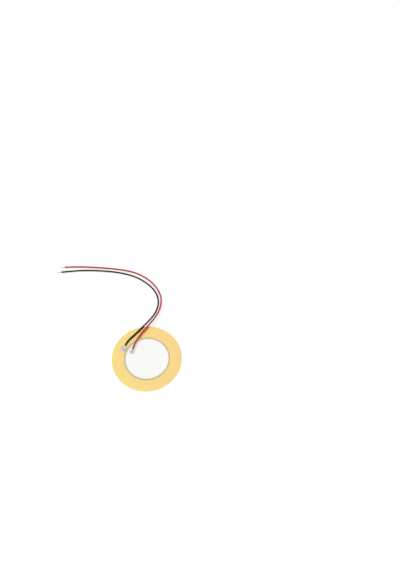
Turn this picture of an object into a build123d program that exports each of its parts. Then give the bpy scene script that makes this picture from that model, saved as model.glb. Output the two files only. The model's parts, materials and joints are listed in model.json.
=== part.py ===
from build123d import *
import math
import os

# Piezo sounder disc: a silvered ceramic wafer glued to a thin brass plate, with a lead soldered to each.
# Millimetres, +Z up through the wafer. The origin is the middle of the plate's underside.

# Brass plate, blanked from rolled strip
plate_diameter = 27.0
plate_thickness = 0.30
plate_edge_break = 0.04     # both rims, tumbled free of burrs

# Ceramic wafer with a fired silver electrode on each face, and the glue under it
ceramic_diameter = 17.6
ceramic_thickness = 0.22
electrode_thickness = 0.015
electrode_margin = 0.55     # bare ceramic left round the upper electrode, on average
electrode_shift_x = 0.16    # middle of the upper electrode from the wafer's, as its print was registered
electrode_shift_y = -0.25
bond_thickness = 0.03
bond_bead_width = 0.15      # glue squeezed out round the wafer
bond_bead_climb = 0.08      # height of that bead up the wafer's side

# Solder joint of the black lead, on the brass beside the wafer
plate_joint_bearing = 147.8      # degrees round from +X
plate_joint_offset = 1.08        # wafer's edge to the joint's middle
plate_joint_radius = 1.42
plate_joint_height = 0.90
plate_joint_lead_rise = 0.45     # brass to the middle of the conductor
plate_strip_length = 1.15        # conductor bared at this end of the black lead

# Solder joint of the red lead, on the upper electrode
electrode_joint_bearing = 146.7  # degrees round from +X
electrode_joint_inset = 1.60     # electrode's edge to the joint's middle
electrode_joint_radius = 0.95
electrode_joint_height = 0.78
electrode_joint_lead_rise = 0.38  # silver to the middle of the conductor
electrode_strip_length = 0.80    # conductor bared at this end of the red lead

# Form of the solder
solder_contact_angle = 42.0      # degrees between the foot and what it wets
solder_foot_share = 0.28         # of the joint's radius, the radius of its concave foot
solder_wick_root = 0.24          # solder round the conductor at the joint's middle
solder_wick_tip = 0.12           # solder round the conductor where the insulation starts
solder_wick_hollow_share = 0.04  # of the bared length, how far the wicked neck is hollowed

# Leads: stranded hook-up wire with a tinned end
lead_diameter = 0.60
conductor_diameter = 0.25        # across the outer strands
conductor_ring = 6               # strands round the middle one, so the bundle is six-sided
conductor_clearance = 0.015      # between the strands and the insulation
tip_diameter = 0.29              # conductor and the tin on it
tip_length = 1.80
tip_round = 0.08
bend_share = 0.45                # of the shorter run, what each bend takes up

# Routes of the leads: over the plate's rim, then along the surface it lies on, to the end of the insulation
lead_rest = lead_diameter / 2
black_route = [
    (-6.8, 8.05, 0.78),
    (-3.65, 10.45, 0.78),
    (-0.5, 13.05, 0.82),
    (2.8, 15.9, 0.75),
    (5.65, 19.25, 0.5),
    (7.0, 23.45, lead_rest),
    (6.2, 27.85, lead_rest),
    (3.4, 31.75, lead_rest),
    (-0.9, 35.25, lead_rest),
    (-6.3, 37.75, lead_rest),
    (-13.2, 39.55, lead_rest),
    (-20.6, 40.8, lead_rest),
    (-26.0, 41.15, lead_rest),
    (-30.2, 41.25, lead_rest),
]
red_route = [
    (-4.1, 6.4, 1.1),
    (-2.0, 9.5, 1.15),
    (1.2, 12.75, 1.1),
    (4.6, 16.1, 0.95),
    (7.2, 20.1, 0.5),
    (8.2, 24.65, lead_rest),
    (7.0, 29.25, lead_rest),
    (3.9, 33.55, lead_rest),
    (-0.9, 37.25, lead_rest),
    (-7.2, 39.45, lead_rest),
    (-14.5, 41.15, lead_rest),
    (-21.4, 42.45, lead_rest),
    (-25.4, 42.95, lead_rest),
    (-28.7, 43.25, lead_rest),
]

# Heights of the layers, from the plate up
bond_top = plate_thickness + bond_thickness
ceramic_base = bond_top + electrode_thickness
ceramic_top = ceramic_base + ceramic_thickness
electrode_top = ceramic_top + electrode_thickness
electrode_diameter = ceramic_diameter - 2 * electrode_margin


def layer(diameter, base, top):
    """Flat round layer between two heights."""
    disc = Cylinder(diameter / 2, top - base, align=(Align.CENTER, Align.CENTER, Align.MIN))
    return Pos(0, 0, base) * disc


def make_brass_plate():
    """Blanked disc with both rims broken."""
    plate = layer(plate_diameter, 0, plate_thickness)
    return chamfer(plate.edges().filter_by(GeomType.CIRCLE), plate_edge_break)


def make_bond_layer():
    """Film of glue under the wafer, with the bead that was pressed out round its edge."""
    wafer_radius = ceramic_diameter / 2
    profile = make_face(
        Polyline(
            (0, plate_thickness),
            (wafer_radius + bond_bead_width, plate_thickness),
            (wafer_radius, bond_top + bond_bead_climb),
            (wafer_radius, bond_top),
            (0, bond_top),
            close=True,
        )
    )
    return revolve(Plane.XZ * profile, Axis.Z)


def make_upper_electrode():
    """Silver printed on the wafer's upper face, a little off its middle."""
    return Pos(electrode_shift_x, electrode_shift_y) * layer(electrode_diameter, ceramic_top, electrode_top)


def arc_about(centre, start, end):
    """Shorter arc from start to end round a centre, all in one plane."""
    spoke = (start - centre).length
    middle = centre + ((start - centre) + (end - centre)).normalized() * spoke
    return ThreePointArc(start, middle, end)


def solder_bead(radius, height):
    """Bead of solder standing on z = 0: a concave wetted foot that runs tangent into a round crown."""
    foot_radius = radius * solder_foot_share
    contact = math.radians(solder_contact_angle)
    foot_centre = Vector(radius + foot_radius * math.sin(contact), foot_radius * math.cos(contact))
    sink = height - foot_centre.Y
    crown_radius = (foot_centre.X ** 2 / (foot_radius + sink) - foot_radius + sink) / 2
    crown_centre = Vector(0, height - crown_radius)
    meeting = crown_centre + (foot_centre - crown_centre).normalized() * crown_radius
    middle = Vector(0, 0)
    rim = Vector(radius, 0)
    peak = Vector(0, height)
    outline = [
        Line(middle, rim),
        arc_about(foot_centre, rim, meeting),
        arc_about(crown_centre, meeting, peak),
        Line(peak, middle),
    ]
    return revolve(Plane.XZ * make_face(outline), Axis.Z)


def solder_neck(start, direction, length):
    """Solder drawn along the bared conductor, from the joint's middle to the insulation."""
    root = Vector(conductor_diameter / 2 + solder_wick_root, 0)
    tip = Vector(conductor_diameter / 2 + solder_wick_tip, length)
    outline = [
        Line(Vector(0, 0), root),
        SagittaArc(root, tip, length * solder_wick_hollow_share),
        Line(tip, Vector(0, length)),
        Line(Vector(0, length), Vector(0, 0)),
    ]
    neck = revolve(Plane.XZ * make_face(outline), Axis.Z)
    return Plane(origin=start, z_dir=direction).location * neck


def make_solder(joint, points, seat, radius, height, neighbours):
    """Joint over the buried end of a conductor, cut to the insulation and to what the solder flowed against."""
    bead = Pos(joint.X, joint.Y, seat) * solder_bead(radius, height)
    bared = points[0] - joint
    solder = bead + solder_neck(joint, bared, bared.length)
    solder -= tube(Circle(lead_diameter / 2), Line(points[0], points[1]))
    for neighbour in neighbours:
        solder -= neighbour
    return solder


def joint_place(middle, bearing, distance):
    """Middle of the conductor over a solder joint, at a bearing and a distance from a layer's middle."""
    angle = math.radians(bearing)
    return middle + Vector(distance * math.cos(angle), distance * math.sin(angle))


def insulated_points(joint, route, strip_length):
    """Points of the insulation, from where it was stripped at the joint."""
    return [joint + (route[0] - joint).normalized() * strip_length] + route


def bend_radii(points):
    """Bend radius at each inner point, as large as the two runs beside it allow."""
    radii = []
    for before, here, after in zip(points, points[1:], points[2:]):
        arriving = here - before
        leaving = after - here
        half_turn = math.radians(arriving.get_angle(leaving) / 2)
        radii.append(bend_share * min(arriving.length, leaving.length) / math.tan(half_turn))
    return radii


def tube(section, path):
    """Solid of one section all along a path."""
    return sweep(Plane(origin=path @ 0, z_dir=path % 0) * section, path=path)


def strand_bundle(clearance):
    """Six-sided section of the bundle of strands, or of the bore that it leaves in the insulation."""
    return RegularPolygon(conductor_diameter / 2 + clearance, conductor_ring)


def make_insulation(points):
    """Sleeve round the conductor, of straight runs and tangent bends."""
    section = Circle(lead_diameter / 2) - strand_bundle(conductor_clearance)
    return tube(section, FilletPolyline(*points, radius=bend_radii(points)))


def make_conductor(joint, points):
    """Conductor from the middle of its solder joint, with the tinned tip past the insulation."""
    path = FilletPolyline(joint, *points[1:], radius=bend_radii(points))
    tip = Cylinder(tip_diameter / 2, tip_length, align=(Align.CENTER, Align.CENTER, Align.MIN))
    tip = fillet(tip.edges().filter_by(GeomType.CIRCLE).sort_by(Axis.Z)[-1], tip_round)
    return tube(strand_bundle(0), path) + Plane(origin=path @ 1, z_dir=path % 1).location * tip


def describe_lead(name, joint, points, insulation):
    """Print a lead's ends, its length, its bends and its volume against section times length."""
    path = FilletPolyline(*points, radius=bend_radii(points))
    section_area = math.pi * (lead_diameter / 2) ** 2 - strand_bundle(conductor_clearance).area
    print(name, "lead from", joint, "insulated from", points[0], "to", path @ 1, "heading", path % 1)
    print(name, "insulation length", round(path.length, 2), "and tip", tip_length)
    print(name, "bend radii", [round(radius, 1) for radius in bend_radii(points)])
    print(name, "sleeve volume over section times length", insulation.volume / (section_area * path.length))


def main():
    """Build every piece and write it as a STEP file named for it."""
    black_joint = joint_place(
        Vector(0, 0, plate_thickness + plate_joint_lead_rise),
        plate_joint_bearing,
        ceramic_diameter / 2 + plate_joint_offset,
    )
    red_joint = joint_place(
        Vector(electrode_shift_x, electrode_shift_y, electrode_top + electrode_joint_lead_rise),
        electrode_joint_bearing,
        electrode_diameter / 2 - electrode_joint_inset,
    )
    black_points = insulated_points(black_joint, [Vector(*point) for point in black_route], plate_strip_length)
    red_points = insulated_points(red_joint, [Vector(*point) for point in red_route], electrode_strip_length)
    pieces = {
        "brass_plate": make_brass_plate(),
        "bond_layer": make_bond_layer(),
        "lower_electrode": layer(ceramic_diameter, bond_top, ceramic_base),
        "ceramic_disc": layer(ceramic_diameter, ceramic_base, ceramic_top),
        "upper_electrode": make_upper_electrode(),
        "black_conductor": make_conductor(black_joint, black_points),
        "black_insulation": make_insulation(black_points),
        "red_conductor": make_conductor(red_joint, red_points),
        "red_insulation": make_insulation(red_points),
    }
    beside_plate_joint = ["bond_layer", "lower_electrode", "ceramic_disc", "black_conductor"]
    pieces["plate_solder"] = make_solder(
        black_joint,
        black_points,
        plate_thickness,
        plate_joint_radius,
        plate_joint_height,
        [pieces[name] for name in beside_plate_joint],
    )
    pieces["electrode_solder"] = make_solder(
        red_joint,
        red_points,
        electrode_top,
        electrode_joint_radius,
        electrode_joint_height,
        [pieces["red_conductor"]],
    )
    describe_lead("black", black_joint, black_points, pieces["black_insulation"])
    describe_lead("red", red_joint, red_points, pieces["red_insulation"])
    os.makedirs("parts", exist_ok=True)
    for name, piece in pieces.items():
        export_step(piece, os.path.join("parts", name + ".step"))


main()
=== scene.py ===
"""Piezo sounder disc: finishes, solder, leads and stage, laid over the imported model.

Lengths are metres in the model's own frame. The brass plate lies on z = 0 with the ceramic wafer on top,
and two leads run from their solder joints over the plate's rim and along the surface that it lies on.
"""

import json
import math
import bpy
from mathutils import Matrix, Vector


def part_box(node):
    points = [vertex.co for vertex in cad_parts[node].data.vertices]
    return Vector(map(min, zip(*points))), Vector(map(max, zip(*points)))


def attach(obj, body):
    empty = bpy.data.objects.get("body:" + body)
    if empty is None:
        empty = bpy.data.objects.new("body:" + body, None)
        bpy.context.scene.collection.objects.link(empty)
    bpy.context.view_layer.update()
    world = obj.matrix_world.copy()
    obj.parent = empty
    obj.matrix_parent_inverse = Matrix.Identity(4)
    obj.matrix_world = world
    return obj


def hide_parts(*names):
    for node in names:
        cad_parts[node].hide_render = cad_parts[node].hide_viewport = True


bl_info = {
    "name": "Piezo Sounder Disc",
    "version": (1, 0, 0),
    "blender": (4, 5, 0),
    "location": "View3D > Sidebar > Piezo Disc",
    "description": "Dresses a brass and ceramic sounder disc with its finishes, solder and leads",
    "category": "Object",
}

import bmesh
import bpy
from bpy.props import FloatProperty, FloatVectorProperty, IntProperty, PointerProperty
from mathutils import Matrix, Vector, noise

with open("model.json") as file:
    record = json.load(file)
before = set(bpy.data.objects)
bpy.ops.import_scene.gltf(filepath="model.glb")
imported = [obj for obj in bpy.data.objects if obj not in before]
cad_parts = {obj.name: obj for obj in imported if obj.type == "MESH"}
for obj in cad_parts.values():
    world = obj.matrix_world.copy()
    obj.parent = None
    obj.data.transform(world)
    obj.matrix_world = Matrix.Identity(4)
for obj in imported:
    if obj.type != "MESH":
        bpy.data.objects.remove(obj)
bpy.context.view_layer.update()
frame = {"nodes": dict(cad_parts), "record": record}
MM = 0.001
BODY = "root"

# Places of the mix node's colour sockets, which share their names with its other kinds
MIX_FACTOR = 0
MIX_A = 6
MIX_B = 7
MIX_RESULT = 2

# Span that holds most of a noise texture's values, as inputs of a map range
NOISE_SPAN = {"From Min": 0.3, "From Max": 0.7}

# Solder joints: middle of the conductor over each, and the point where its insulation was stripped
BLACK_JOINT = (-0.00836039, 0.00526482, 0.00075)
BLACK_STRIPPED = (-0.00779833, 0.00626805, 0.00076081)
RED_JOINT = (-0.00539812, 0.003401, 0.00096)
RED_STRIPPED = (-0.00508062, 0.0041345, 0.00099424)

# Routes of the leads from there: over the plate's rim, then along the surface to the end of the insulation
BLACK_ROUTE = [
    (-0.0068, 0.00805, 0.00078),
    (-0.00365, 0.01045, 0.00078),
    (-0.0005, 0.01305, 0.00082),
    (0.0028, 0.0159, 0.00075),
    (0.00565, 0.01925, 0.0005),
    (0.0070, 0.02345, 0.0003),
    (0.0062, 0.02785, 0.0003),
    (0.0034, 0.03175, 0.0003),
    (-0.0009, 0.03525, 0.0003),
    (-0.0063, 0.03775, 0.0003),
    (-0.0132, 0.03955, 0.0003),
    (-0.0206, 0.0408, 0.0003),
    (-0.0260, 0.04115, 0.0003),
    (-0.0302, 0.04125, 0.0003),
]
RED_ROUTE = [
    (-0.0041, 0.0064, 0.0011),
    (-0.0020, 0.0095, 0.00115),
    (0.0012, 0.01275, 0.0011),
    (0.0046, 0.0161, 0.00095),
    (0.0072, 0.0201, 0.0005),
    (0.0082, 0.02465, 0.0003),
    (0.0070, 0.02925, 0.0003),
    (0.0039, 0.03355, 0.0003),
    (-0.0009, 0.03725, 0.0003),
    (-0.0072, 0.03945, 0.0003),
    (-0.0145, 0.04115, 0.0003),
    (-0.0214, 0.04245, 0.0003),
    (-0.0254, 0.04295, 0.0003),
    (-0.0287, 0.04325, 0.0003),
]

# Stripped end of a sleeve, from inside its bore out to its side: depth and radius in lead radii
STRIPPED_END_SHARES = [
    (1.50, 0.58),
    (0.10, 0.58),
    (0.02, 0.62),
    (0.00, 0.70),
    (0.02, 0.82),
    (0.09, 0.92),
    (0.22, 0.98),
    (0.45, 1.00),
    (0.80, 1.00),
]

# Cut end of a tinned tip: distance from the end and radius, both in tip radii
CUT_END_SHARES = [(0.0, 0.55), (0.06, 0.80), (0.20, 0.94), (0.42, 1.0)]


def linear(hex_colour):
    """Linear red, green and blue of an sRGB hex value such as #F9E083."""
    channels = [int(hex_colour[place:place + 2], 16) / 255 for place in (1, 3, 5)]
    return tuple(c / 12.92 if c <= 0.04045 else ((c + 0.055) / 1.055) ** 2.4 for c in channels)


def add_node(tree, kind, inputs, **settings):
    """Add a node, give it its settings, then set each of its inputs or link it to another node's output."""
    node = tree.nodes.new(kind)
    for setting, value in settings.items():
        setattr(node, setting, value)
    for socket, value in inputs.items():
        if isinstance(value, bpy.types.NodeSocket):
            tree.links.new(value, node.inputs[socket])
        else:
            node.inputs[socket].default_value = value
    return node


def colour(value):
    """Opaque node colour of a linear colour."""
    return (*value, 1.0)


class PiezoDiscSizes(bpy.types.PropertyGroup):
    """Sizes of the leads and of the solder's mesh."""

    lead_diameter: FloatProperty(
        name="Lead diameter", description="Outside of the insulation", default=0.6 * MM, unit="LENGTH"
    )
    strand_bundle: FloatProperty(
        name="Strand bundle", description="Diameter across the bare strands", default=0.25 * MM, unit="LENGTH"
    )
    tip_diameter: FloatProperty(
        name="Tip diameter",
        description="Diameter of the tinned tip",
        default=2 * frame["record"]["mounts"][1]["dims"]["r_mm"] * MM,
        unit="LENGTH",
    )
    tip_length: FloatProperty(
        name="Tip length", description="Tinned tip past the insulation", default=1.8 * MM, unit="LENGTH"
    )
    strands: IntProperty(name="Outer strands", description="Strands round the middle one", default=6, min=3)
    strand_lay: FloatProperty(
        name="Strand lay", description="Length of one turn of the twist", default=2.6 * MM, unit="LENGTH"
    )
    sleeve_sides: IntProperty(
        name="Sleeve sides", description="Facets round the insulation", default=28, min=8
    )
    solder_voxel: FloatProperty(
        name="Solder grain", description="Mesh size of the solder", default=0.035 * MM, unit="LENGTH"
    )


class PiezoDiscColours(bpy.types.PropertyGroup):
    """Colours of the finishes."""

    brass: FloatVectorProperty(
        name="Brass", description="Clean rolled brass", default=linear("#FCE28E"), subtype="COLOR"
    )
    # The warm colour serves both the tarnish clouds and the drift towards the plate's right
    brass_warm: FloatVectorProperty(
        name="Aged brass", description="Brass with a warm tarnish", default=linear("#FDD993"), subtype="COLOR"
    )
    silver: FloatVectorProperty(
        name="Silver", description="Fired silver of the electrode", default=linear("#FDFDFC"), subtype="COLOR"
    )
    ceramic: FloatVectorProperty(
        name="Ceramic", description="Bare fired ceramic", default=linear("#D2C49F"), subtype="COLOR"
    )
    glue: FloatVectorProperty(
        name="Glue", description="Cured epoxy round the wafer", default=linear("#D6C497"), subtype="COLOR"
    )
    solder: FloatVectorProperty(
        name="Solder", description="Bright tin solder", default=linear("#DEDCDC"), subtype="COLOR"
    )
    tin: FloatVectorProperty(
        name="Tinned copper", description="Tin over the strands", default=linear("#DEDBD6"), subtype="COLOR"
    )
    black_sleeve: FloatVectorProperty(
        name="Black PVC", description="Black lead's insulation", default=linear("#070606"), subtype="COLOR"
    )
    red_sleeve: FloatVectorProperty(
        name="Red PVC", description="Red lead's insulation", default=linear("#BC353C"), subtype="COLOR"
    )


# Finishes: a texture's scale is one over the size of its features, and shades multiply a finish's colour


def new_material(name):
    """Empty node material, its tree, its shader and the object's own coordinates."""
    material = bpy.data.materials.new(name)
    material.use_nodes = True
    tree = material.node_tree
    place = add_node(tree, "ShaderNodeTexCoord", {}).outputs["Object"]
    return material, tree, tree.nodes["Principled BSDF"], place


def rolled_brass(colours):
    """Rolled brass: a satin sheen drawn out along the rolling, hairline scratches, warm tarnish, warmer to
    the plate's right.
    """
    material, tree, shader, place = new_material("rolled_brass")
    rolling_angle = math.radians(24)
    line_length = 9 * MM
    line_width = 0.22 * MM       # really about 0.02 mm, drawn coarser so that it shows
    line_darkest = 0.965
    line_lightest = 1.03
    sheen_lowest = 0.25          # noise where the sheen is smoothest, and where it is roughest
    sheen_highest = 0.75
    smoothest = 0.28
    roughest = 0.46
    scratch_length = 14 * MM
    scratch_width = 0.35 * MM    # really about 0.03 mm, drawn coarser so that it shows
    scratch_start = 0.72         # noise at which a scratch begins
    scratch_full = 0.76          # noise at which it has its depth
    scratch_depth_share = 0.8    # of the height of the rolled lines
    relief_height = 0.01 * MM
    relief_strength = 0.35
    cloud_size = 9 * MM
    cloud_age_share = 0.5        # of the warmth, what comes in clouds of tarnish
    right_drift_share = 0.8        # how much warmer the brass grows from the left of the plate to its right
    unseen_warmth_share = 0.2       # of the warmth, what stays too faint to show
    plate_low, plate_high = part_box("brass_plate")

    lines_place = add_node(
        tree,
        "ShaderNodeMapping",
        {
            "Vector": place,
            "Rotation": (0, 0, rolling_angle),
            "Scale": (1 / line_length, 1 / line_width, 1 / line_width),
        },
    )
    lines = add_node(
        tree,
        "ShaderNodeTexNoise",
        {"Vector": lines_place.outputs[0], "Scale": 1, "Detail": 4, "Roughness": 0.6},
    )
    scratch_place = add_node(
        tree,
        "ShaderNodeMapping",
        {
            "Vector": place,
            "Rotation": (0, 0, -rolling_angle),
            "Scale": (1 / scratch_length, 1 / scratch_width, 1 / scratch_width),
        },
    )
    scratch_noise = add_node(
        tree, "ShaderNodeTexNoise", {"Vector": scratch_place.outputs[0], "Scale": 1, "Detail": 1}
    )
    scratches = add_node(
        tree,
        "ShaderNodeMapRange",
        {"Value": scratch_noise.outputs[0], "From Min": scratch_start, "From Max": scratch_full},
    )
    clouds = add_node(tree, "ShaderNodeTexNoise", {"Vector": place, "Scale": 1 / cloud_size, "Detail": 3})
    across = add_node(tree, "ShaderNodeSeparateXYZ", {"Vector": place})
    drift = add_node(
        tree,
        "ShaderNodeMapRange",
        {
            "Value": across.outputs["X"],
            "From Min": plate_low.x,
            "From Max": plate_high.x,
            "To Max": right_drift_share,
        },
    )
    # Warmth: tarnish in clouds, plus a straight drift to the warm colour from the plate's left to its right
    warmth_sum = add_node(
        tree,
        "ShaderNodeMath",
        {0: clouds.outputs[0], 1: cloud_age_share, 2: drift.outputs[0]},
        operation="MULTIPLY_ADD",
    )
    warmth = add_node(
        tree,
        "ShaderNodeMath",
        {0: warmth_sum.outputs[0], 1: unseen_warmth_share},
        operation="SUBTRACT",
        use_clamp=True,
    )
    tone = add_node(
        tree,
        "ShaderNodeMix",
        {MIX_FACTOR: warmth.outputs[0], MIX_A: colour(colours.brass), MIX_B: colour(colours.brass_warm)},
        data_type="RGBA",
    )
    line_shade = add_node(
        tree,
        "ShaderNodeMapRange",
        {"Value": lines.outputs[0], **NOISE_SPAN, "To Min": line_darkest, "To Max": line_lightest},
    )
    lined = add_node(
        tree,
        "ShaderNodeVectorMath",
        {0: tone.outputs[MIX_RESULT], 1: line_shade.outputs[0]},
        operation="MULTIPLY",
    )
    satin = add_node(
        tree,
        "ShaderNodeMapRange",
        {
            "Value": lines.outputs[0],
            "From Min": sheen_lowest,
            "From Max": sheen_highest,
            "To Min": smoothest,
            "To Max": roughest,
        },
    )
    relief = add_node(
        tree,
        "ShaderNodeMath",
        {0: scratches.outputs[0], 1: -scratch_depth_share, 2: lines.outputs[0]},
        operation="MULTIPLY_ADD",
    )
    bump = add_node(
        tree,
        "ShaderNodeBump",
        {"Height": relief.outputs[0], "Strength": relief_strength, "Distance": relief_height},
    )
    shader.inputs["Metallic"].default_value = 1.0
    tree.links.new(lined.outputs[0], shader.inputs["Base Color"])
    tree.links.new(satin.outputs[0], shader.inputs["Roughness"])
    tree.links.new(bump.outputs[0], shader.inputs["Normal"])
    return material


def fired_silver(colours):
    """Silver paste screened on and fired: chalky white metal with the screen's faint grid and a grain."""
    material, tree, shader, place = new_material("fired_silver")
    thread_spacing = 0.42 * MM   # really about 0.1 mm, drawn coarser so that it shows
    wave_length = math.pi / 10   # of the wave texture at a scale of 1
    weave_height_share = 0.25    # of the height of the grain
    grain_size = 0.16 * MM       # really about 0.01 mm, drawn coarser so that it shows
    relief_height = 0.008 * MM
    relief_strength = 0.3
    smoothest = 0.5
    roughest = 0.7
    patch_size = 5 * MM
    patch_darkest = 0.98
    print_lowest = 0.45          # grain and weave added up, in their hollows and on their crests
    print_highest = 1.05
    print_darkest = 0.96
    print_lightest = 1.02
    screen = [
        add_node(
            tree,
            "ShaderNodeTexWave",
            {"Vector": place, "Scale": wave_length / thread_spacing, "Distortion": 0.6, "Detail": 2},
            bands_direction=direction,
        )
        for direction in ("X", "Y")
    ]
    weave = add_node(
        tree, "ShaderNodeMath", {0: screen[0].outputs["Fac"], 1: screen[1].outputs["Fac"]}, operation="ADD"
    )
    grain = add_node(tree, "ShaderNodeTexNoise", {"Vector": place, "Scale": 1 / grain_size, "Detail": 3})
    patches = add_node(tree, "ShaderNodeTexNoise", {"Vector": place, "Scale": 1 / patch_size, "Detail": 2})
    height = add_node(
        tree,
        "ShaderNodeMath",
        {0: weave.outputs[0], 1: weave_height_share, 2: grain.outputs[0]},
        operation="MULTIPLY_ADD",
    )
    bump = add_node(
        tree,
        "ShaderNodeBump",
        {"Height": height.outputs[0], "Strength": relief_strength, "Distance": relief_height},
    )
    patch_shade = add_node(
        tree,
        "ShaderNodeMapRange",
        {"Value": patches.outputs[0], **NOISE_SPAN, "To Min": patch_darkest, "To Max": 1.0},
    )
    print_shade = add_node(
        tree,
        "ShaderNodeMapRange",
        {
            "Value": height.outputs[0],
            "From Min": print_lowest,
            "From Max": print_highest,
            "To Min": print_darkest,
            "To Max": print_lightest,
        },
    )
    shade = add_node(
        tree,
        "ShaderNodeMath",
        {0: patch_shade.outputs[0], 1: print_shade.outputs[0]},
        operation="MULTIPLY",
    )
    tone = add_node(
        tree, "ShaderNodeVectorMath", {0: tuple(colours.silver), 1: shade.outputs[0]}, operation="MULTIPLY"
    )
    matte = add_node(
        tree,
        "ShaderNodeMapRange",
        {"Value": grain.outputs[0], **NOISE_SPAN, "To Min": smoothest, "To Max": roughest},
    )
    shader.inputs["Metallic"].default_value = 0.45
    tree.links.new(tone.outputs[0], shader.inputs["Base Color"])
    tree.links.new(matte.outputs[0], shader.inputs["Roughness"])
    tree.links.new(bump.outputs[0], shader.inputs["Normal"])
    return material


def fired_ceramic(colours):
    """Lapped lead zirconate titanate: dull tan ceramic with a sugary grain and darker specks."""
    material, tree, shader, place = new_material("fired_ceramic")
    grain_size = 0.12 * MM       # really about 0.005 mm, drawn coarser so that it shows
    speck_size = 0.5 * MM
    mottle_lowest = 0.7          # grain and specks added up, where they are darkest and lightest
    mottle_highest = 1.3
    darkest = 0.8
    lightest = 1.12
    relief_height = 0.01 * MM
    relief_strength = 0.4
    grain = add_node(tree, "ShaderNodeTexNoise", {"Vector": place, "Scale": 1 / grain_size, "Detail": 3})
    specks = add_node(tree, "ShaderNodeTexNoise", {"Vector": place, "Scale": 1 / speck_size, "Detail": 2})
    mottle = add_node(
        tree, "ShaderNodeMath", {0: grain.outputs[0], 1: specks.outputs[0]}, operation="ADD"
    )
    shade = add_node(
        tree,
        "ShaderNodeMapRange",
        {
            "Value": mottle.outputs[0],
            "From Min": mottle_lowest,
            "From Max": mottle_highest,
            "To Min": darkest,
            "To Max": lightest,
        },
    )
    tone = add_node(
        tree, "ShaderNodeVectorMath", {0: tuple(colours.ceramic), 1: shade.outputs[0]}, operation="MULTIPLY"
    )
    bump = add_node(
        tree,
        "ShaderNodeBump",
        {"Height": grain.outputs[0], "Strength": relief_strength, "Distance": relief_height},
    )
    shader.inputs["Roughness"].default_value = 0.72
    tree.links.new(tone.outputs[0], shader.inputs["Base Color"])
    tree.links.new(bump.outputs[0], shader.inputs["Normal"])
    return material


def cured_epoxy(colours):
    """Thin amber glue: a glossy bead that clouds where it is thicker."""
    material, tree, shader, place = new_material("cured_epoxy")
    cloud_size = 0.8 * MM
    darkest = 0.75
    lightest = 1.1
    smoothest = 0.2
    roughest = 0.4
    clouds = add_node(tree, "ShaderNodeTexNoise", {"Vector": place, "Scale": 1 / cloud_size, "Detail": 3})
    shade = add_node(
        tree,
        "ShaderNodeMapRange",
        {"Value": clouds.outputs[0], **NOISE_SPAN, "To Min": darkest, "To Max": lightest},
    )
    tone = add_node(
        tree, "ShaderNodeVectorMath", {0: tuple(colours.glue), 1: shade.outputs[0]}, operation="MULTIPLY"
    )
    gloss = add_node(
        tree,
        "ShaderNodeMapRange",
        {"Value": clouds.outputs[0], **NOISE_SPAN, "To Min": smoothest, "To Max": roughest},
    )
    shader.inputs["IOR"].default_value = 1.55
    tree.links.new(tone.outputs[0], shader.inputs["Base Color"])
    tree.links.new(gloss.outputs[0], shader.inputs["Roughness"])
    return material


def tin_solder(colours):
    """Solder frozen from a bead: bright as a mirror in places, frosted in patches where it cooled last."""
    material, tree, shader, place = new_material("tin_solder")
    frost_size = 0.6 * MM
    frost_start = 0.38           # noise at which the mirror starts to dull
    frost_full = 0.68            # noise at which it is all frost
    bright_roughness = 0.12
    frost_roughness = 0.38
    frost_shade = 0.86
    crystal_size = 0.16 * MM
    relief_height = 0.01 * MM
    relief_strength = 0.15
    frost = add_node(tree, "ShaderNodeTexNoise", {"Vector": place, "Scale": 1 / frost_size, "Detail": 3})
    crystals = add_node(
        tree, "ShaderNodeTexVoronoi", {"Vector": place, "Scale": 1 / crystal_size}, feature="F1"
    )
    gloss = add_node(
        tree,
        "ShaderNodeMapRange",
        {
            "Value": frost.outputs[0],
            "From Min": frost_start,
            "From Max": frost_full,
            "To Min": bright_roughness,
            "To Max": frost_roughness,
        },
    )
    shade = add_node(
        tree,
        "ShaderNodeMapRange",
        {"Value": frost.outputs[0], **NOISE_SPAN, "To Min": 1.0, "To Max": frost_shade},
    )
    tone = add_node(
        tree, "ShaderNodeVectorMath", {0: tuple(colours.solder), 1: shade.outputs[0]}, operation="MULTIPLY"
    )
    bump = add_node(
        tree,
        "ShaderNodeBump",
        {"Height": crystals.outputs["Distance"], "Strength": relief_strength, "Distance": relief_height},
    )
    shader.inputs["Metallic"].default_value = 1.0
    tree.links.new(tone.outputs[0], shader.inputs["Base Color"])
    tree.links.new(gloss.outputs[0], shader.inputs["Roughness"])
    tree.links.new(bump.outputs[0], shader.inputs["Normal"])
    return material


def tinned_copper(colours):
    """Hot-dipped tin over copper strands: pale and streaky, a little duller than the solder."""
    material, tree, shader, place = new_material("tinned_copper")
    streak_size = 0.25 * MM
    darkest = 0.8
    lightest = 1.05
    smoothest = 0.22
    roughest = 0.42
    streaks = add_node(tree, "ShaderNodeTexNoise", {"Vector": place, "Scale": 1 / streak_size, "Detail": 4})
    shade = add_node(
        tree,
        "ShaderNodeMapRange",
        {"Value": streaks.outputs[0], **NOISE_SPAN, "To Min": darkest, "To Max": lightest},
    )
    tone = add_node(
        tree, "ShaderNodeVectorMath", {0: tuple(colours.tin), 1: shade.outputs[0]}, operation="MULTIPLY"
    )
    gloss = add_node(
        tree,
        "ShaderNodeMapRange",
        {"Value": streaks.outputs[0], **NOISE_SPAN, "To Min": smoothest, "To Max": roughest},
    )
    shader.inputs["Metallic"].default_value = 1.0
    tree.links.new(tone.outputs[0], shader.inputs["Base Color"])
    tree.links.new(gloss.outputs[0], shader.inputs["Roughness"])
    return material


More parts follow.
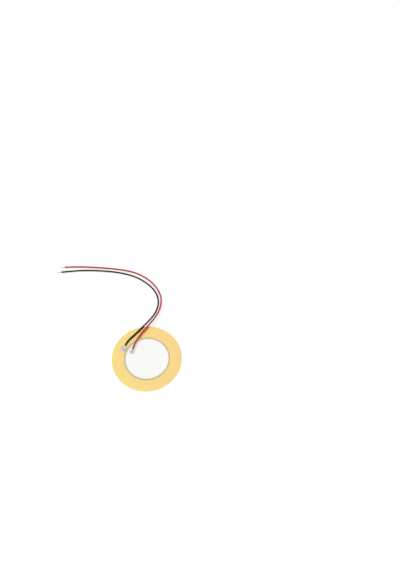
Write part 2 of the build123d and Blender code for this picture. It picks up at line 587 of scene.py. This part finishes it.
def extruded_pvc(name, sleeve_colour):
    """PVC drawn through a die: even colour with a soft gloss, a faint bloom and a fine skin."""
    material, tree, shader, place = new_material(name)
    bloom_size = 2.5 * MM
    darkest = 0.86
    lightest = 1.14
    smoothest = 0.3
    roughest = 0.48
    skin_size = 0.12 * MM        # really about 0.03 mm, drawn coarser so that it shows
    relief_height = 0.006 * MM
    relief_strength = 0.2
    bloom = add_node(tree, "ShaderNodeTexNoise", {"Vector": place, "Scale": 1 / bloom_size, "Detail": 4})
    skin = add_node(tree, "ShaderNodeTexNoise", {"Vector": place, "Scale": 1 / skin_size, "Detail": 2})
    shade = add_node(
        tree,
        "ShaderNodeMapRange",
        {"Value": bloom.outputs[0], **NOISE_SPAN, "To Min": darkest, "To Max": lightest},
    )
    tone = add_node(
        tree, "ShaderNodeVectorMath", {0: tuple(sleeve_colour), 1: shade.outputs[0]}, operation="MULTIPLY"
    )
    gloss = add_node(
        tree,
        "ShaderNodeMapRange",
        {"Value": bloom.outputs[0], **NOISE_SPAN, "To Min": smoothest, "To Max": roughest},
    )
    bump = add_node(
        tree,
        "ShaderNodeBump",
        {"Height": skin.outputs[0], "Strength": relief_strength, "Distance": relief_height},
    )
    shader.inputs["IOR"].default_value = 1.53
    shader.inputs["Specular IOR Level"].default_value = 0.2
    tree.links.new(tone.outputs[0], shader.inputs["Base Color"])
    tree.links.new(gloss.outputs[0], shader.inputs["Roughness"])
    tree.links.new(bump.outputs[0], shader.inputs["Normal"])
    return material


# Pieces


def add_object(name, mesh, material):
    """Smooth-shaded object of a mesh, in the model's frame, that rides with the disc."""
    piece = bpy.data.objects.new(name, mesh)
    bpy.context.scene.collection.objects.link(piece)
    mesh.materials.clear()
    mesh.materials.append(material)
    mesh.polygons.foreach_set("use_smooth", [True] * len(mesh.polygons))
    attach(piece, BODY)
    return piece


def finish_nodes(material, *names):
    """Give CAD nodes a material."""
    for name in names:
        slots = frame["nodes"][name].data.materials
        slots.clear()
        slots.append(material)


def spline_points(route):
    """Points along the smooth line that a route steers, read from its NURBS spline."""
    points_per_run = 14
    curve = bpy.data.curves.new("route", "CURVE")
    curve.dimensions = "3D"
    curve.resolution_u = points_per_run
    spline = curve.splines.new("NURBS")
    spline.points.add(len(route) - 1)
    for point, place in zip(spline.points, route):
        point.co = (*place, 1.0)
    spline.order_u = 3
    spline.use_endpoint_u = True
    carrier = bpy.data.objects.new("route", curve)
    mesh = bpy.data.meshes.new_from_object(carrier)
    line = [vertex.co.copy() for vertex in mesh.vertices]
    bpy.data.meshes.remove(mesh)
    bpy.data.objects.remove(carrier)
    bpy.data.curves.remove(curve)
    return line


def headings(line):
    """Direction of a line at each of its points."""
    ahead = [(after - here).normalized() for here, after in zip(line, line[1:])]
    inner = [(before + after).normalized() for before, after in zip(ahead, ahead[1:])]
    return [ahead[0]] + inner + [ahead[-1]]


def carried_sides(directions):
    """A side direction at each point, carried along the line without twist."""
    side = directions[0].orthogonal().normalized()
    sides = [side]
    for before, here in zip(directions, directions[1:]):
        side = before.rotation_difference(here) @ side
        sides.append(side)
    return sides


def round_section(radius):
    """Radius for an angle of a round section."""
    return lambda angle: radius


def strand_section(radius, lobe_share, count, turn):
    """Radius for an angle of a bundle of strands, turned by its twist, with its crests at the radius."""
    return lambda angle: radius * (1 - lobe_share + lobe_share * math.cos(count * (angle - turn)))


def tube_mesh(name, rings, sides, hollow=False):
    """Closed mesh through rings, each a middle, a direction, a side direction and a radius for an angle.

    Its ends are capped, unless it is hollow: then its rings run back through its bore to the first one.
    """
    mesh = bpy.data.meshes.new(name)
    shape = bmesh.new()
    loops = []
    for middle, direction, side, radius_at in rings:
        other = direction.cross(side)
        loop = []
        for step in range(sides):
            angle = math.tau * step / sides
            spoke = side * math.cos(angle) + other * math.sin(angle)
            loop.append(shape.verts.new(middle + spoke * radius_at(angle)))
        loops.append(loop)
    if hollow:
        loops.append(loops[0])
    for near, far in zip(loops, loops[1:]):
        for step in range(sides):
            after = (step + 1) % sides
            shape.faces.new((near[step], near[after], far[after], far[step]))
    if not hollow:
        shape.faces.new(loops[0][::-1])
        shape.faces.new(loops[-1])
    shape.to_mesh(mesh)
    shape.free()
    return mesh


def sleeve_rings(line, radius):
    """Rings of a sleeve: along its outside from one stripped end to the other, then back through its bore."""
    end_room_share = 1.2
    directions = headings(line)
    sides = carried_sides(directions)
    stripped_end = [(depth * radius, share * radius) for depth, share in STRIPPED_END_SHARES]
    mouth, bore = stripped_end[0]
    lip = stripped_end[-1][0]
    near_end = [(line[0] + directions[0] * depth, directions[0], sides[0], r) for depth, r in stripped_end]
    far_end = [(line[-1] - directions[-1] * depth, directions[-1], sides[-1], r) for depth, r in stripped_end]
    outside = []
    inside = []
    for middle, direction, side in zip(line, directions, sides):
        from_ends = min((middle - line[0]).length, (middle - line[-1]).length)
        if from_ends > lip * end_room_share:
            outside.append((middle, direction, side, radius))
        if from_ends > mouth * end_room_share:
            inside.append((middle, direction, side, bore))
    rings = near_end + outside + far_end[::-1] + inside[::-1]
    return [(middle, direction, side, round_section(r)) for middle, direction, side, r in rings]


def even_steps(start, end, step):
    """Points from start to end, about a step apart, without the end."""
    count = max(1, round((end - start).length / step))
    return [start.lerp(end, place / count) for place in range(count)]


def conductor_rings(joint, line, sizes):
    """Rings of a twisted bundle of strands, from its solder joint to the cut end of its tinned tip."""
    ring_step = 0.12 * MM
    bare_lobe_share = 0.13
    tinned_lobe_share = 0.06
    bundle = sizes.strand_bundle / 2
    tip = sizes.tip_diameter / 2
    tip_end = line[-1] + (line[-1] - line[-2]).normalized() * sizes.tip_length
    tip_run = even_steps(line[-1], tip_end, ring_step) + [tip_end]
    run = even_steps(joint, line[0], ring_step) + line[:-1] + tip_run
    first_tinned = len(run) - len(tip_run)
    directions = headings(run)
    sides = carried_sides(directions)
    rings = []
    travelled = 0.0
    for index, (middle, direction, side) in enumerate(zip(run, directions, sides)):
        if index:
            travelled += (middle - run[index - 1]).length
        tinned = index >= first_tinned
        radius = tip if tinned else bundle
        lobe_share = tinned_lobe_share if tinned else bare_lobe_share
        from_end = (tip_end - middle).length / tip
        for depth, share in reversed(CUT_END_SHARES):
            if from_end <= depth:
                radius = tip * share
        turn = math.tau * travelled / sizes.strand_lay
        rings.append((middle, direction, side, strand_section(radius, lobe_share, sizes.strands, turn)))
    return rings


def add_lead(name, joint, stripped, route, sizes, sleeve_material, tin_material):
    """One lead: its conductor and its sleeve along the same smooth line."""
    facets_per_strand = 6
    sleeve_name = name + "_lead_sleeve"
    strands_name = name + "_lead_strands"
    line = spline_points([stripped] + route)
    sleeve_shape = sleeve_rings(line, sizes.lead_diameter / 2)
    strands_shape = conductor_rings(Vector(joint), line, sizes)
    sleeve = add_object(
        sleeve_name,
        tube_mesh(sleeve_name, sleeve_shape, sizes.sleeve_sides, hollow=True),
        sleeve_material,
    )
    conductor = add_object(
        strands_name,
        tube_mesh(strands_name, strands_shape, facets_per_strand * sizes.strands),
        tin_material,
    )
    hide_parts(name + "_insulation")
    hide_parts(name + "_conductor")


def melted_mesh(node, voxel):
    """Mesh of a CAD bead of solder with its creases flowed together."""
    weld_gap = 0.001 * MM
    flow_share = 0.5
    flow_passes = 14
    mesh = frame["nodes"][node].data.copy()
    shape = bmesh.new()
    shape.from_mesh(mesh)
    bmesh.ops.remove_doubles(shape, verts=shape.verts, dist=weld_gap)
    shape.to_mesh(mesh)
    shape.free()
    carrier = bpy.data.objects.new("solder", mesh)
    bpy.context.scene.collection.objects.link(carrier)
    remesh = carrier.modifiers.new("melt", "REMESH")
    remesh.mode = "VOXEL"
    remesh.voxel_size = voxel
    smooth = carrier.modifiers.new("flow", "SMOOTH")
    smooth.factor = flow_share
    smooth.iterations = flow_passes
    depsgraph = bpy.context.evaluated_depsgraph_get()
    melted = bpy.data.meshes.new_from_object(carrier.evaluated_get(depsgraph))
    bpy.data.objects.remove(carrier)
    bpy.data.meshes.remove(mesh)
    return melted


def add_solder_bead(node, voxel, material):
    """Bead of solder that keeps a CAD bead's form and seat, with a frozen unevenness."""
    lump_sizes = (0.8 * MM, 0.33 * MM)
    lump_heights = (0.11 * MM, 0.03 * MM)
    low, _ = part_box(node)
    melted = melted_mesh(node, voxel)
    melted.name = node + "_bead"
    for vertex in melted.vertices:
        if vertex.co.z - low.z > voxel:
            lump = sum(
                noise.noise(vertex.co / size) * height for size, height in zip(lump_sizes, lump_heights)
            )
            vertex.co += vertex.normal * lump
        else:
            vertex.co.z = low.z
    bead = add_object(node + "_bead", melted, material)
    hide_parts(node)


# Stage


def gloss_share(tree, path):
    """One for rays that gloss or glass sent on, from a light path's outputs."""
    return add_node(
        tree,
        "ShaderNodeMath",
        {0: path["Is Glossy Ray"], 1: path["Is Transmission Ray"]},
        operation="MAXIMUM",
    ).outputs[0]


def seen_share(tree):
    """One for rays that show the background: those from the camera, from gloss and through glass."""
    path = add_node(tree, "ShaderNodeLightPath", {}).outputs
    return add_node(
        tree, "ShaderNodeMath", {0: path["Is Camera Ray"], 1: gloss_share(tree, path)}, operation="MAXIMUM"
    ).outputs[0]


def white_paper():
    """Background paper: white to the eye, with half of its light left to take the disc's shadow."""
    paper_colour = linear("#EFEFEF")
    shadowed_colour = linear("#C4C4C4")
    glow_level = 0.5
    material = bpy.data.materials.new("white_paper")
    material.use_nodes = True
    tree = material.node_tree
    tree.nodes.remove(tree.nodes["Principled BSDF"])
    paper = add_node(tree, "ShaderNodeBsdfDiffuse", {"Color": colour(paper_colour)})
    shadowed = add_node(tree, "ShaderNodeBsdfDiffuse", {"Color": colour(shadowed_colour)})
    glow = add_node(tree, "ShaderNodeEmission", {"Strength": glow_level})
    lifted = add_node(tree, "ShaderNodeAddShader", {0: shadowed.outputs[0], 1: glow.outputs[0]})
    shown = add_node(
        tree, "ShaderNodeMixShader", {0: seen_share(tree), 1: paper.outputs[0], 2: lifted.outputs[0]}
    )
    tree.links.new(shown.outputs[0], tree.nodes["Material Output"].inputs["Surface"])
    return material


def white_room():
    """World of plain white, dimmer to gloss on the camera's side, so that round metal has contrast."""
    fill_level = 0.84
    dim_level = 0.2
    dim_middle = math.radians(10)
    dim_edge = math.radians(27)
    world = bpy.data.worlds.new("white_room")
    world.use_nodes = True
    tree = world.node_tree
    path = add_node(tree, "ShaderNodeLightPath", {}).outputs
    towards = add_node(tree, "ShaderNodeTexCoord", {}).outputs["Generated"]
    facing = add_node(
        tree, "ShaderNodeVectorMath", {0: towards, 1: camera_side()}, operation="DOT_PRODUCT"
    ).outputs["Value"]
    room_level = add_node(
        tree,
        "ShaderNodeMapRange",
        {
            "Value": facing,
            "From Min": math.cos(dim_edge),
            "From Max": math.cos(dim_middle),
            "To Min": 1.0,
            "To Max": dim_level,
        },
        interpolation_type="SMOOTHSTEP",
    ).outputs[0]
    past_fill = add_node(
        tree, "ShaderNodeMath", {0: room_level, 1: fill_level}, operation="SUBTRACT"
    ).outputs[0]
    lit_level = add_node(
        tree,
        "ShaderNodeMath",
        {0: gloss_share(tree, path), 1: past_fill, 2: fill_level},
        operation="MULTIPLY_ADD",
    ).outputs[0]
    level = add_node(
        tree, "ShaderNodeMath", {0: lit_level, 1: path["Is Camera Ray"]}, operation="MAXIMUM"
    ).outputs[0]
    background = tree.nodes["Background"]
    background.inputs["Color"].default_value = colour(linear("#FFFFFF"))
    tree.links.new(level, background.inputs["Strength"])
    return world


def camera_side():
    """Direction from the disc to the photograph's camera, down on the disc from the front."""
    elevation = math.radians(64.496)
    return Vector((0, -math.cos(elevation), math.sin(elevation)))


def photo_camera():
    """Camera of the photograph: a long lens that looks down on the disc from the front, a little rolled."""
    lens = 100.0
    roll = math.radians(-6.781)
    target = Vector((0.023726, 0.028613, 0))
    distance = 0.622322
    back = camera_side()
    right = Vector((1, 0, 0))
    up = back.cross(right)
    rolled_right = right * math.cos(roll) + up * math.sin(roll)
    rolled_up = up * math.cos(roll) - right * math.sin(roll)
    data = bpy.data.cameras.new("photo_camera")
    data.lens = lens
    camera = bpy.data.objects.new("photo_camera", data)
    axes = Matrix((rolled_right, rolled_up, back)).transposed()
    camera.matrix_world = Matrix.Translation(target + back * distance) @ axes.to_4x4()
    return camera


def paper_floor():
    """Sheet of white paper just under the disc."""
    side = 6.0
    gap = 0.02 * MM
    mesh = bpy.data.meshes.new("floor")
    shape = bmesh.new()
    bmesh.ops.create_grid(shape, x_segments=1, y_segments=1, size=side / 2)
    bmesh.ops.translate(shape, verts=shape.verts, vec=(0, 0, -gap))
    shape.to_mesh(mesh)
    shape.free()
    mesh.materials.append(white_paper())
    return bpy.data.objects.new("floor", mesh)


def soft_box():
    """Square lamp on the left behind the disc, kept out of its gloss, where it would burn out."""
    side = 0.45
    watts = 2.4
    place = Vector((-0.56, 0.32, 0.63))
    data = bpy.data.lights.new("soft_box", "AREA")
    data.size = side
    data.energy = watts
    lamp = bpy.data.objects.new("soft_box", data)
    lamp.location = place
    lamp.rotation_euler = place.to_track_quat("Z", "Y").to_euler()
    lamp.visible_glossy = False
    return lamp


# Steps and panel


class PIEZO_OT_set_stage(bpy.types.Operator):
    """Set the floor, the light and the camera"""

    bl_idname = "piezo_disc.set_stage"
    bl_label = "Set Stage"

    def execute(self, context):
        scene = context.scene
        floor = paper_floor()
        lamp = soft_box()
        camera = photo_camera()
        for item in (floor, lamp, camera):
            scene.collection.objects.link(item)
        scene.world = white_room()
        scene.camera = camera
        scene.view_settings.view_transform = "Standard"
        return {"FINISHED"}


class PIEZO_OT_finish_plate(bpy.types.Operator):
    """Give the plate its rolled brass"""

    bl_idname = "piezo_disc.finish_plate"
    bl_label = "Finish Plate"

    def execute(self, context):
        finish_nodes(rolled_brass(context.scene.piezo_colours), "brass_plate")
        return {"FINISHED"}


class PIEZO_OT_finish_wafer(bpy.types.Operator):
    """Give the wafer its ceramic, its silver and the glue under it"""

    bl_idname = "piezo_disc.finish_wafer"
    bl_label = "Finish Wafer"

    def execute(self, context):
        colours = context.scene.piezo_colours
        finish_nodes(fired_ceramic(colours), "ceramic_disc")
        finish_nodes(fired_silver(colours), "upper_electrode", "lower_electrode")
        finish_nodes(cured_epoxy(colours), "bond_layer")
        return {"FINISHED"}


class PIEZO_OT_add_solder(bpy.types.Operator):
    """Add the solder joints of both leads"""

    bl_idname = "piezo_disc.add_solder"
    bl_label = "Add Solder"

    def execute(self, context):
        material = tin_solder(context.scene.piezo_colours)
        for node in ("plate_solder", "electrode_solder"):
            add_solder_bead(node, context.scene.piezo_sizes.solder_voxel, material)
        return {"FINISHED"}


class PIEZO_OT_add_leads(bpy.types.Operator):
    """Add the black and the red lead, each with its sleeve and its strands"""

    bl_idname = "piezo_disc.add_leads"
    bl_label = "Add Leads"

    def execute(self, context):
        sizes = context.scene.piezo_sizes
        colours = context.scene.piezo_colours
        tin = tinned_copper(colours)
        black = extruded_pvc("extruded_black_pvc", colours.black_sleeve)
        red = extruded_pvc("extruded_red_pvc", colours.red_sleeve)
        add_lead("black", BLACK_JOINT, BLACK_STRIPPED, BLACK_ROUTE, sizes, black, tin)
        add_lead("red", RED_JOINT, RED_STRIPPED, RED_ROUTE, sizes, red, tin)
        return {"FINISHED"}


class PIEZO_PT_builder(bpy.types.Panel):
    """Lists the disc's sizes, colours and steps"""

    bl_idname = "PIEZO_PT_builder"
    bl_label = "Piezo Disc"
    bl_space_type = "VIEW_3D"
    bl_region_type = "UI"
    bl_category = "Piezo Disc"

    def draw(self, context):
        column = self.layout.column()
        for group in (context.scene.piezo_sizes, context.scene.piezo_colours):
            for name in group.__annotations__:
                column.prop(group, name)
        for step in STEPS:
            column.operator(step.bl_idname)


# The steps in the order in which they run
STEPS = (
    PIEZO_OT_set_stage,
    PIEZO_OT_finish_plate,
    PIEZO_OT_finish_wafer,
    PIEZO_OT_add_solder,
    PIEZO_OT_add_leads,
)
CLASSES = (PiezoDiscSizes, PiezoDiscColours, *STEPS, PIEZO_PT_builder)


def register():
    """Register the classes and hang the settings on the scene."""
    for item in CLASSES:
        bpy.utils.register_class(item)
    bpy.types.Scene.piezo_sizes = PointerProperty(type=PiezoDiscSizes)
    bpy.types.Scene.piezo_colours = PointerProperty(type=PiezoDiscColours)


def unregister():
    """Take the settings off the scene and unregister the classes."""
    del bpy.types.Scene.piezo_colours
    del bpy.types.Scene.piezo_sizes
    for item in reversed(CLASSES):
        bpy.utils.unregister_class(item)


def main():
    """Run every step."""
    register()
    bpy.ops.piezo_disc.set_stage()
    bpy.ops.piezo_disc.finish_plate()
    bpy.ops.piezo_disc.finish_wafer()
    bpy.ops.piezo_disc.add_solder()
    bpy.ops.piezo_disc.add_leads()


if __name__ == "__main__":
    main()
